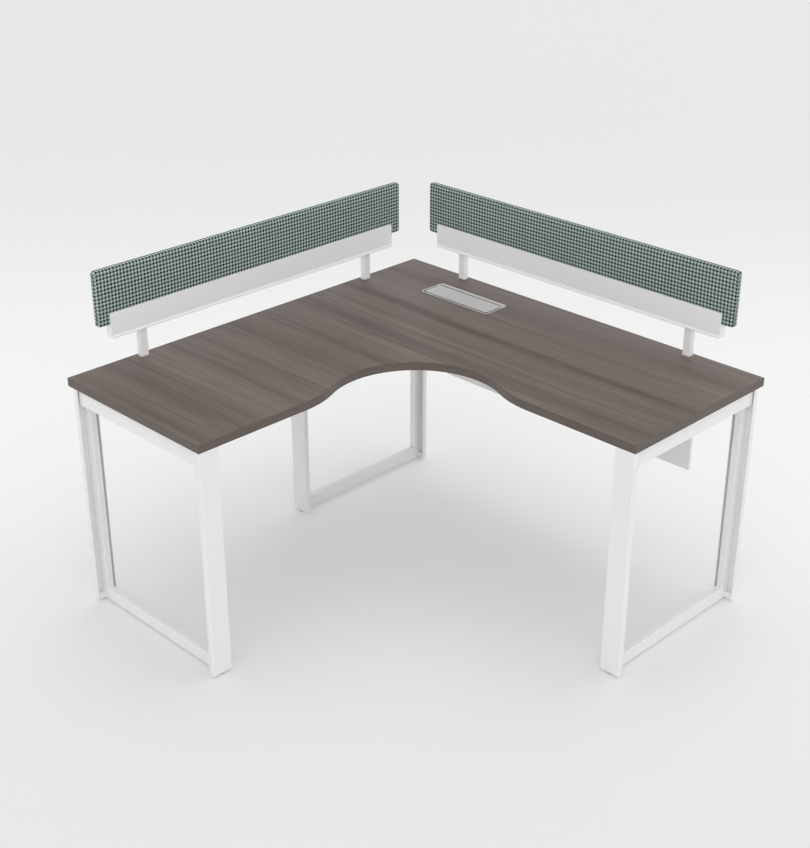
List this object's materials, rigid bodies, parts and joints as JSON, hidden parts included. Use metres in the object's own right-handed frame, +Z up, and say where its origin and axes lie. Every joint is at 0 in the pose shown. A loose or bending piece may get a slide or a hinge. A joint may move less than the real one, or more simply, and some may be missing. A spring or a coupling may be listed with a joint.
{
  "type": "l-shaped desk",
  "caption": "L-shaped office desk on white steel loop legs, with a curved sitting place, a lidded cable port, a modesty panel and fabric screens on rails.",
  "frame": {"origin": "On the floor, at the middle of the desk's square footprint.", "axes": "+Z up. +Y points from the sitting place to the back edge of the main wing. The return wing lies along -X and reaches to -Y. +X points to the free end of the main wing."},
  "size_m": [1.4, 1.4, 1.033],
  "materials": {
    "worktop": "laminated board, grey-brown wood grain, satin",
    "edge": "edge band in the colour of the board",
    "frame_paint": "white powder coat, smooth satin",
    "foot_steel": "zinc plated",
    "foot_pad": "light grey nylon",
    "screw_steel": "zinc plated",
    "port_aluminium": "satin silver",
    "port_brush": "black nylon bristles",
    "screen_fabric": "houndstooth weave, bottle green and pale mint",
    "screen_board": "bare board inside the cover",
    "screen_silver": "silver-grey powder coat, satin",
    "shoe_plastic": "light grey plastic"
  },
  "bodies": {
    "desk": {"worktop": "worktop", "edge_band": "edge", "left_front_post": "frame_paint", "left_rear_post": "frame_paint", "left_front_upright": "frame_paint", "left_rear_upright": "frame_paint", "left_top_rail": "frame_paint", "left_bottom_rail": "frame_paint", "corner_front_post": "frame_paint", "corner_rear_post": "frame_paint", "corner_front_upright": "frame_paint", "corner_rear_upright": "frame_paint", "corner_top_rail": "frame_paint", "corner_bottom_rail": "frame_paint", "right_front_post": "frame_paint", "right_rear_post": "frame_paint", "right_front_upright": "frame_paint", "right_rear_upright": "frame_paint", "right_top_rail": "frame_paint", "right_bottom_rail": "frame_paint", "foot_blocks": "frame_paint", "main_front_beam": "frame_paint", "main_rear_beam": "frame_paint", "return_inner_beam": "frame_paint", "return_outer_beam": "frame_paint", "beam_end_plates": "frame_paint", "beam_screws": "screw_steel", "worktop_screws": "screw_steel", "modesty_panel": "frame_paint", "modesty_screws": "screw_steel", "port_frame": "port_aluminium", "port_hinge_pin": "screw_steel", "port_brush": "port_brush", "port_clamps": "screw_steel", "port_clamp_screws": "screw_steel", "left_screen_cover": "screen_fabric", "left_screen_core": "screen_board", "left_screen_rail": "screen_silver", "left_screen_posts": "screen_silver", "right_screen_cover": "screen_fabric", "right_screen_core": "screen_board", "right_screen_rail": "screen_silver", "right_screen_posts": "screen_silver", "screen_shoes": "shoe_plastic", "screen_bolts": "screw_steel", "screen_screws": "screw_steel"},
    "lid": {"port_lid": "port_aluminium"},
    "left_front_pad": {"left_front_pad": "foot_pad"},
    "left_front_stud": {"left_front_stud": "foot_steel"},
    "left_rear_pad": {"left_rear_pad": "foot_pad"},
    "left_rear_stud": {"left_rear_stud": "foot_steel"},
    "corner_front_pad": {"corner_front_pad": "foot_pad"},
    "corner_front_stud": {"corner_front_stud": "foot_steel"},
    "corner_rear_pad": {"corner_rear_pad": "foot_pad"},
    "corner_rear_stud": {"corner_rear_stud": "foot_steel"},
    "right_front_pad": {"right_front_pad": "foot_pad"},
    "right_front_stud": {"right_front_stud": "foot_steel"},
    "right_rear_pad": {"right_rear_pad": "foot_pad"},
    "right_rear_stud": {"right_rear_stud": "foot_steel"}
  },
  "joints": [
    {"name": "port_lid_hinge", "type": "hinge", "parent": "desk", "child": "lid", "pos_m": [-0.323, 0.5753, 0.7304], "axis": [-1, 0, 0], "range_deg": [0, 92]},
    {"name": "left_front_foot_slide", "type": "slide", "parent": "desk", "child": "left_front_pad", "axis": [0, 0, -1], "range_m": [0, 0.012]},
    {"name": "left_front_stud_turn", "type": "hinge", "parent": "left_front_pad", "child": "left_front_stud", "pos_m": [-0.1085, -0.6675, 0.005], "axis": [0, 0, -1], "range_deg": [0, 3460]},
    {"name": "left_rear_foot_slide", "type": "slide", "parent": "desk", "child": "left_rear_pad", "axis": [0, 0, -1], "range_m": [0, 0.012]},
    {"name": "left_rear_stud_turn", "type": "hinge", "parent": "left_rear_pad", "child": "left_rear_stud", "pos_m": [-0.6665, -0.6675, 0.005], "axis": [0, 0, -1], "range_deg": [0, 3460]},
    {"name": "corner_front_foot_slide", "type": "slide", "parent": "desk", "child": "corner_front_pad", "axis": [0, 0, -1], "range_m": [0, 0.012]},
    {"name": "corner_front_stud_turn", "type": "hinge", "parent": "corner_front_pad", "child": "corner_front_stud", "pos_m": [-0.6425, 0.1085, 0.005], "axis": [0, 0, -1], "range_deg": [0, 3460]},
    {"name": "corner_rear_foot_slide", "type": "slide", "parent": "desk", "child": "corner_rear_pad", "axis": [0, 0, -1], "range_m": [0, 0.012]},
    {"name": "corner_rear_stud_turn", "type": "hinge", "parent": "corner_rear_pad", "child": "corner_rear_stud", "pos_m": [-0.6425, 0.6665, 0.005], "axis": [0, 0, -1], "range_deg": [0, 3460]},
    {"name": "right_front_foot_slide", "type": "slide", "parent": "desk", "child": "right_front_pad", "axis": [0, 0, -1], "range_m": [0, 0.012]},
    {"name": "right_front_stud_turn", "type": "hinge", "parent": "right_front_pad", "child": "right_front_stud", "pos_m": [0.6675, 0.1085, 0.005], "axis": [0, 0, -1], "range_deg": [0, 3460]},
    {"name": "right_rear_foot_slide", "type": "slide", "parent": "desk", "child": "right_rear_pad", "axis": [0, 0, -1], "range_m": [0, 0.012]},
    {"name": "right_rear_stud_turn", "type": "hinge", "parent": "right_rear_pad", "child": "right_rear_stud", "pos_m": [0.6675, 0.6665, 0.005], "axis": [0, 0, -1], "range_deg": [0, 3460]}
  ],
  "couplings": [
    {"joint": "left_front_stud_turn", "follows": "left_front_foot_slide", "rad_per_m": 5026.5},
    {"joint": "left_rear_stud_turn", "follows": "left_rear_foot_slide", "rad_per_m": 5026.5},
    {"joint": "corner_front_stud_turn", "follows": "corner_front_foot_slide", "rad_per_m": 5026.5},
    {"joint": "corner_rear_stud_turn", "follows": "corner_rear_foot_slide", "rad_per_m": 5026.5},
    {"joint": "right_front_stud_turn", "follows": "right_front_foot_slide", "rad_per_m": 5026.5},
    {"joint": "right_rear_stud_turn", "follows": "right_rear_foot_slide", "rad_per_m": 5026.5}
  ]
}
